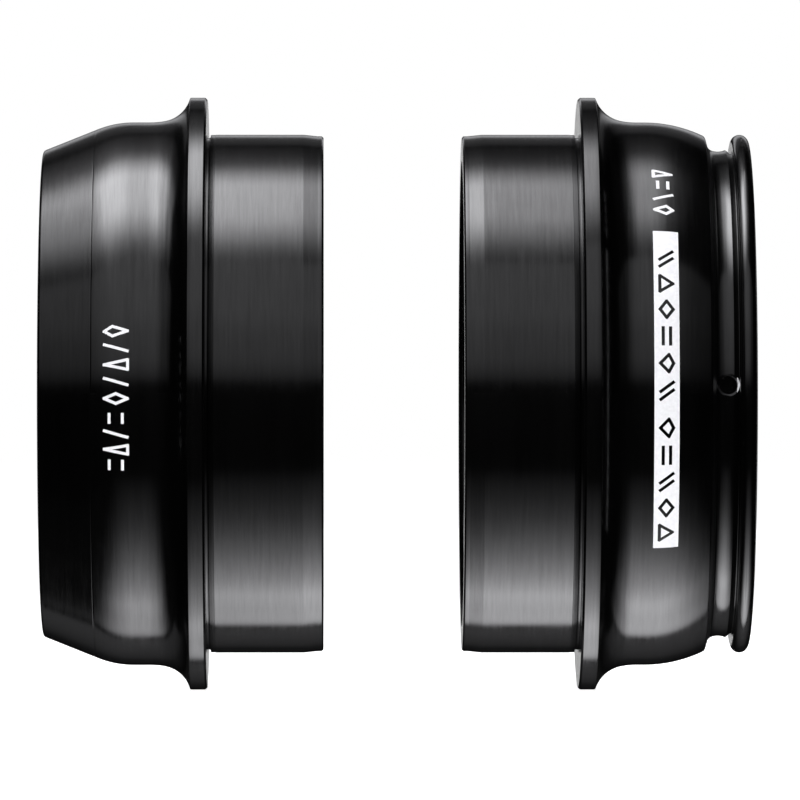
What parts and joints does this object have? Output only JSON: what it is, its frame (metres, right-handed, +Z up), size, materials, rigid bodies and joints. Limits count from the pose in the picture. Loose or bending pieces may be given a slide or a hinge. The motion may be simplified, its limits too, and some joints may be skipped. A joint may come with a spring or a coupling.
{
  "type": "bottom bracket",
  "caption": "Press-fit bicycle bottom bracket: flanged black aluminium cups, one with a clip groove and bead, holding sealed ball bearings, a wave washer and a wire clip.",
  "frame": {"origin": "on the crank axis, midway between the inboard faces of the two flanges", "axes": "+X along the crank axis towards the right (chain) side, +Y towards the front of the bicycle, +Z up"},
  "size_m": [0.0571, 0.048, 0.048],
  "materials": {
    "cup_body": "turned and black anodised, satin, with fine turning marks",
    "bearing_steel": "ground and lightly polished",
    "ball_steel": "polished",
    "spring_steel": "drawn wire and rolled strip, satin",
    "seal_rubber": "moulded, matte",
    "cage_nylon": "moulded, glass filled",
    "marking_ink": "pad-printed white ink"
  },
  "bodies": {
    "left_cup": {"left_cup": "cup_body", "wave_washer": "spring_steel"},
    "left_bearing": {"left_bearing_outer_ring": "bearing_steel", "left_bearing_outboard_seal": "seal_rubber", "left_bearing_inboard_seal": "seal_rubber"},
    "left_inner_ring": {"left_bearing_inner_ring": "bearing_steel"},
    "left_cage": {"left_bearing_cage": "cage_nylon", "left_bearing_ball_01": "ball_steel", "left_bearing_ball_02": "ball_steel", "left_bearing_ball_03": "ball_steel", "left_bearing_ball_04": "ball_steel", "left_bearing_ball_05": "ball_steel", "left_bearing_ball_06": "ball_steel", "left_bearing_ball_07": "ball_steel", "left_bearing_ball_08": "ball_steel", "left_bearing_ball_09": "ball_steel", "left_bearing_ball_10": "ball_steel", "left_bearing_ball_11": "ball_steel", "left_bearing_ball_12": "ball_steel", "left_bearing_ball_13": "ball_steel", "left_bearing_ball_14": "ball_steel", "left_bearing_ball_15": "ball_steel"},
    "right_cup": {"right_cup": "cup_body", "retaining_clip": "spring_steel", "right_bearing_outer_ring": "bearing_steel", "right_bearing_outboard_seal": "seal_rubber", "right_bearing_inboard_seal": "seal_rubber"},
    "right_inner_ring": {"right_bearing_inner_ring": "bearing_steel"},
    "right_cage": {"right_bearing_cage": "cage_nylon", "right_bearing_ball_01": "ball_steel", "right_bearing_ball_02": "ball_steel", "right_bearing_ball_03": "ball_steel", "right_bearing_ball_04": "ball_steel", "right_bearing_ball_05": "ball_steel", "right_bearing_ball_06": "ball_steel", "right_bearing_ball_07": "ball_steel", "right_bearing_ball_08": "ball_steel", "right_bearing_ball_09": "ball_steel", "right_bearing_ball_10": "ball_steel", "right_bearing_ball_11": "ball_steel", "right_bearing_ball_12": "ball_steel", "right_bearing_ball_13": "ball_steel", "right_bearing_ball_14": "ball_steel", "right_bearing_ball_15": "ball_steel"}
  },
  "joints": [
    {"name": "left_bearing_float", "type": "slide", "parent": "left_cup", "child": "left_bearing", "axis": [1, 0, 0], "range_m": [0, 0.0008], "stiffness_N_per_m": 20000, "deforming": ["wave_washer"]},
    {"name": "left_inner_spin", "type": "hinge", "parent": "left_bearing", "child": "left_inner_ring", "pos_m": [-0.02425, 0, 0], "axis": [1, 0, 0], "continuous": true},
    {"name": "left_cage_orbit", "type": "hinge", "parent": "left_bearing", "child": "left_cage", "pos_m": [-0.02425, 0, 0], "axis": [1, 0, 0], "continuous": true},
    {"name": "cup_spread", "type": "slide", "parent": "left_cup", "child": "right_cup", "axis": [1, 0, 0], "range_m": [0, 0.043]},
    {"name": "right_inner_spin", "type": "hinge", "parent": "right_cup", "child": "right_inner_ring", "pos_m": [0.02255, 0, 0], "axis": [1, 0, 0], "continuous": true},
    {"name": "right_cage_orbit", "type": "hinge", "parent": "right_cup", "child": "right_cage", "pos_m": [0.02255, 0, 0], "axis": [1, 0, 0], "continuous": true}
  ],
  "couplings": [
    {"joint": "left_cage_orbit", "follows": "left_inner_spin", "ratio": 0.44879},
    {"joint": "right_cage_orbit", "follows": "right_inner_spin", "ratio": 0.44879}
  ]
}
